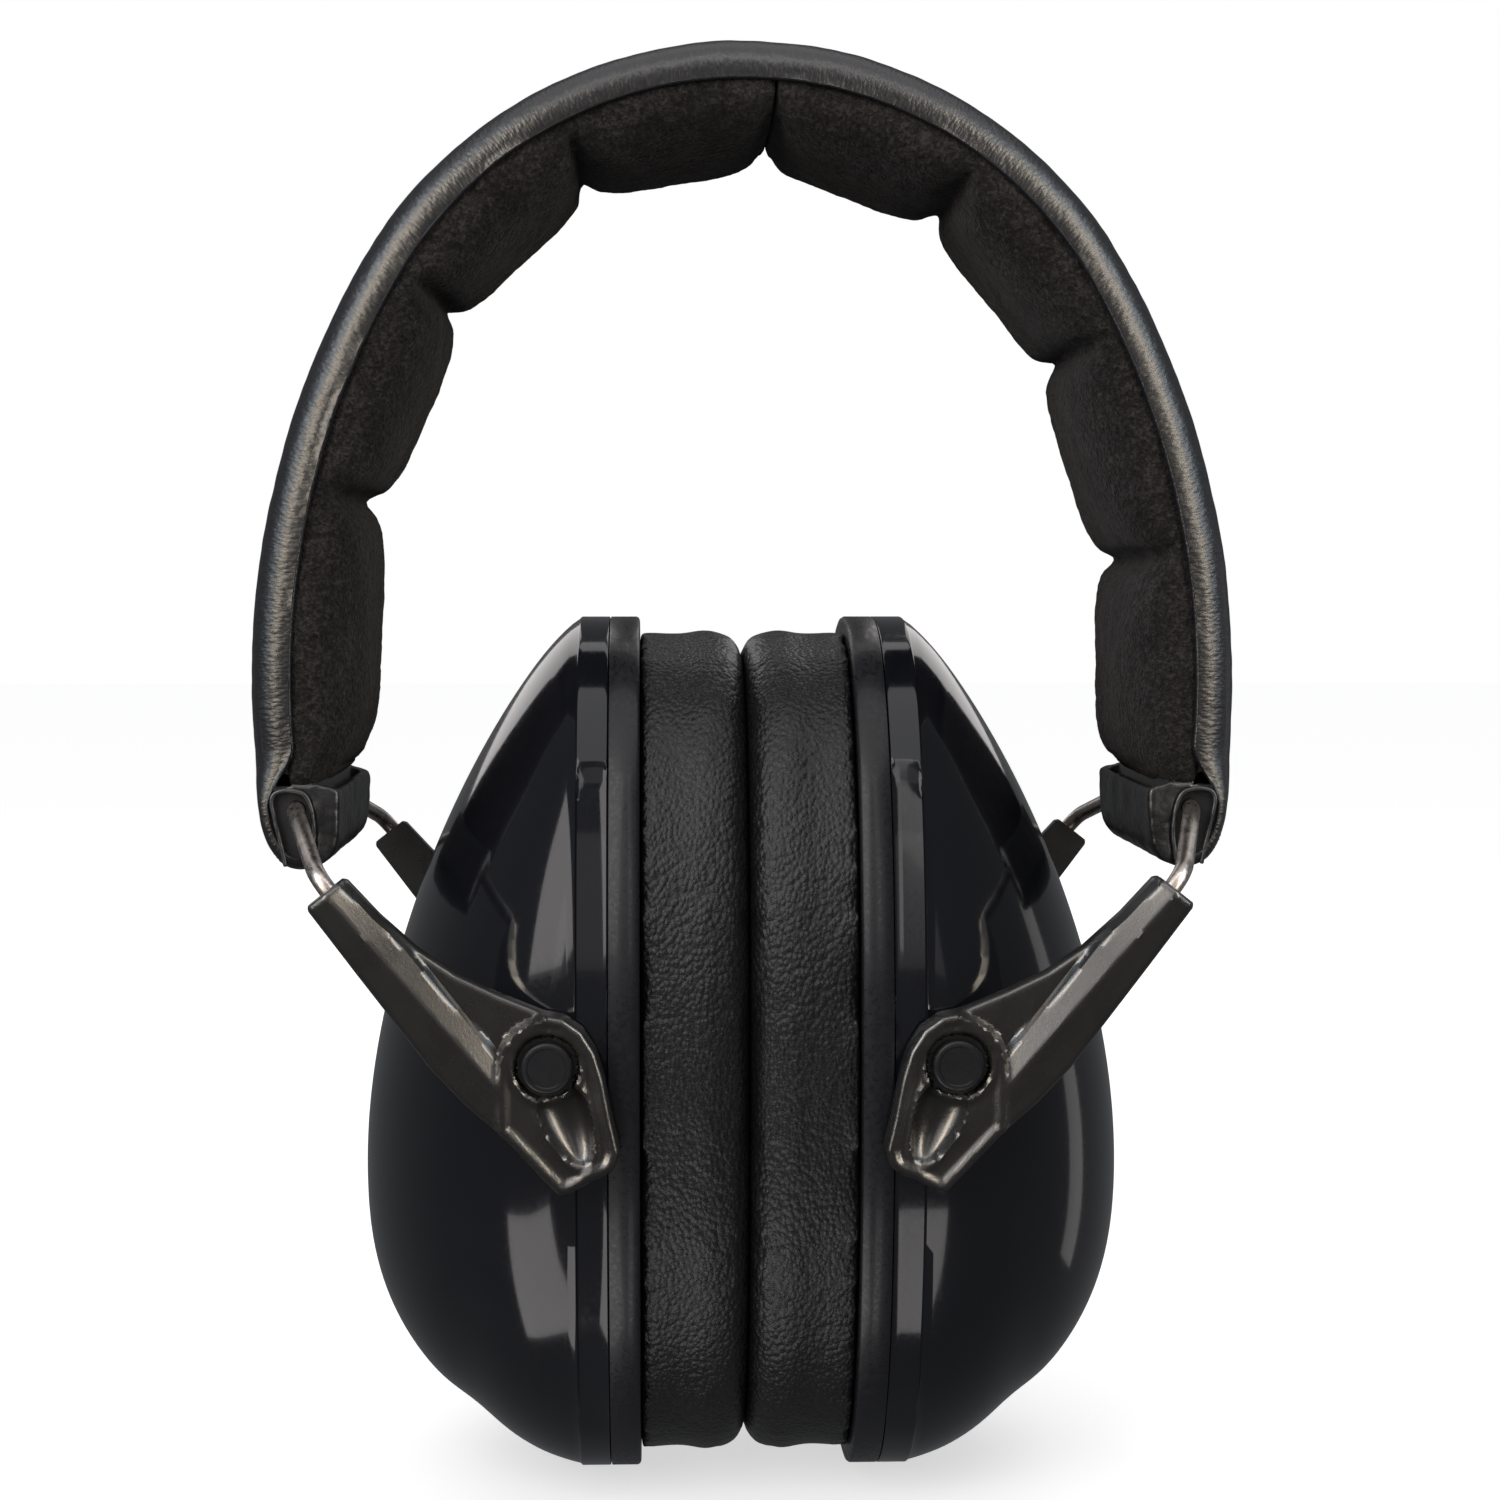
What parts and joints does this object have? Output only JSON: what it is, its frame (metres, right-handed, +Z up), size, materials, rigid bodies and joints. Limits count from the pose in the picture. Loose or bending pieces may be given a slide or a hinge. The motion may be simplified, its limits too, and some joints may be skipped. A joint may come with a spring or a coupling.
{
  "type": "folding earmuff hearing protector",
  "caption": "Compact folding earmuff: padded spring headband, wire yokes with sliding pivot arms, and domed cups with soft ear cushions.",
  "frame": {"origin": "underside of the headband pad at the crown, where the wearer's head touches it", "axes": "+Z up through the crown, +X from one cup to the other, +Y to the back"},
  "size_m": [0.103, 0.0752, 0.1517],
  "materials": {
    "band_leatherette": "black leatherette, fine grain, semi-gloss",
    "fleece_lining": "black brushed fleece, matte",
    "band_foam": "open-cell foam",
    "spring_steel": "spring steel strip",
    "hinge_plastic": "moulded nylon",
    "rivet_steel": "nickel-plated rivets",
    "yoke_wire": "nickel-plated spring wire",
    "arm_plastic": "satin black nylon",
    "cup_shell": "glossy smoky black",
    "pin_plastic": "glossy black",
    "rim_plastic": "satin-gloss black",
    "cushion_leatherette": "black crinkled leatherette",
    "cushion_foam": "soft foam",
    "acoustic_foam": "dark open-cell foam"
  },
  "bodies": {
    "headband": {"headband_cover_crown": "band_leatherette", "headband_lining_crown": "fleece_lining", "headband_foam_crown": "band_foam", "spring_band": "spring_steel"},
    "left_band": {"headband_cover_left": "band_leatherette", "headband_lining_left": "fleece_lining", "headband_foam_left": "band_foam", "end_pocket_left": "band_leatherette", "hinge_block_left": "hinge_plastic", "hinge_rivets_left": "rivet_steel"},
    "left_yoke": {"yoke_wire_left": "yoke_wire"},
    "left_arms": {"front_arm_left": "arm_plastic", "rear_arm_left": "arm_plastic"},
    "left_cup": {"cup_shell_left": "cup_shell", "pivot_pins_left": "pin_plastic", "backing_plate_left": "rim_plastic", "cushion_skin_left": "cushion_leatherette", "cushion_foam_left": "cushion_foam", "acoustic_foam_left": "acoustic_foam"},
    "right_band": {"headband_cover_right": "band_leatherette", "headband_lining_right": "fleece_lining", "headband_foam_right": "band_foam", "end_pocket_right": "band_leatherette", "hinge_block_right": "hinge_plastic", "hinge_rivets_right": "rivet_steel"},
    "right_yoke": {"yoke_wire_right": "yoke_wire"},
    "right_arms": {"front_arm_right": "arm_plastic", "rear_arm_right": "arm_plastic"},
    "right_cup": {"cup_shell_right": "cup_shell", "pivot_pins_right": "pin_plastic", "backing_plate_right": "rim_plastic", "cushion_skin_right": "cushion_leatherette", "cushion_foam_right": "cushion_foam", "acoustic_foam_right": "acoustic_foam"}
  },
  "joints": [
    {"name": "left_band_flex", "type": "hinge", "parent": "headband", "child": "left_band", "pos_m": [-0.02369, 0, 0.00343], "axis": [0, 1, 0], "range_deg": [0, 35], "stiffness_Nm_per_rad": 0.7, "springref_deg": -11.46, "deforming": ["spring_band"]},
    {"name": "left_fold", "type": "hinge", "parent": "left_band", "child": "left_yoke", "pos_m": [-0.0465, 0, -0.0695], "axis": [0, -1, 0], "range_deg": [0, 77], "deforming": ["cushion_skin_left", "cushion_foam_left"]},
    {"name": "left_height_slide", "type": "slide", "parent": "left_yoke", "child": "left_arms", "axis": [0.6157, 0, -0.788], "range_m": [0, 0.012], "deforming": ["cushion_skin_left", "cushion_foam_left"]},
    {"name": "left_cup_tilt", "type": "hinge", "parent": "left_arms", "child": "left_cup", "pos_m": [-0.02, 0, -0.093], "axis": [0, -1, 0], "range_deg": [-77, 77]},
    {"name": "right_band_flex", "type": "hinge", "parent": "headband", "child": "right_band", "pos_m": [0.02369, 0, 0.00343], "axis": [0, -1, 0], "range_deg": [0, 35], "stiffness_Nm_per_rad": 0.7, "springref_deg": -11.46, "deforming": ["spring_band"]},
    {"name": "right_fold", "type": "hinge", "parent": "right_band", "child": "right_yoke", "pos_m": [0.0465, 0, -0.0695], "axis": [0, 1, 0], "range_deg": [0, 77], "deforming": ["cushion_skin_right", "cushion_foam_right"]},
    {"name": "right_height_slide", "type": "slide", "parent": "right_yoke", "child": "right_arms", "axis": [-0.6157, 0, -0.788], "range_m": [0, 0.012], "deforming": ["cushion_skin_right", "cushion_foam_right"]},
    {"name": "right_cup_tilt", "type": "hinge", "parent": "right_arms", "child": "right_cup", "pos_m": [0.02, 0, -0.093], "axis": [0, 1, 0], "range_deg": [-77, 77]}
  ],
  "couplings": [
    {"joint": "right_band_flex", "follows": "left_band_flex", "ratio": 1},
    {"joint": "left_cup_tilt", "follows": "left_fold", "ratio": -1},
    {"joint": "right_cup_tilt", "follows": "right_fold", "ratio": -1}
  ]
}
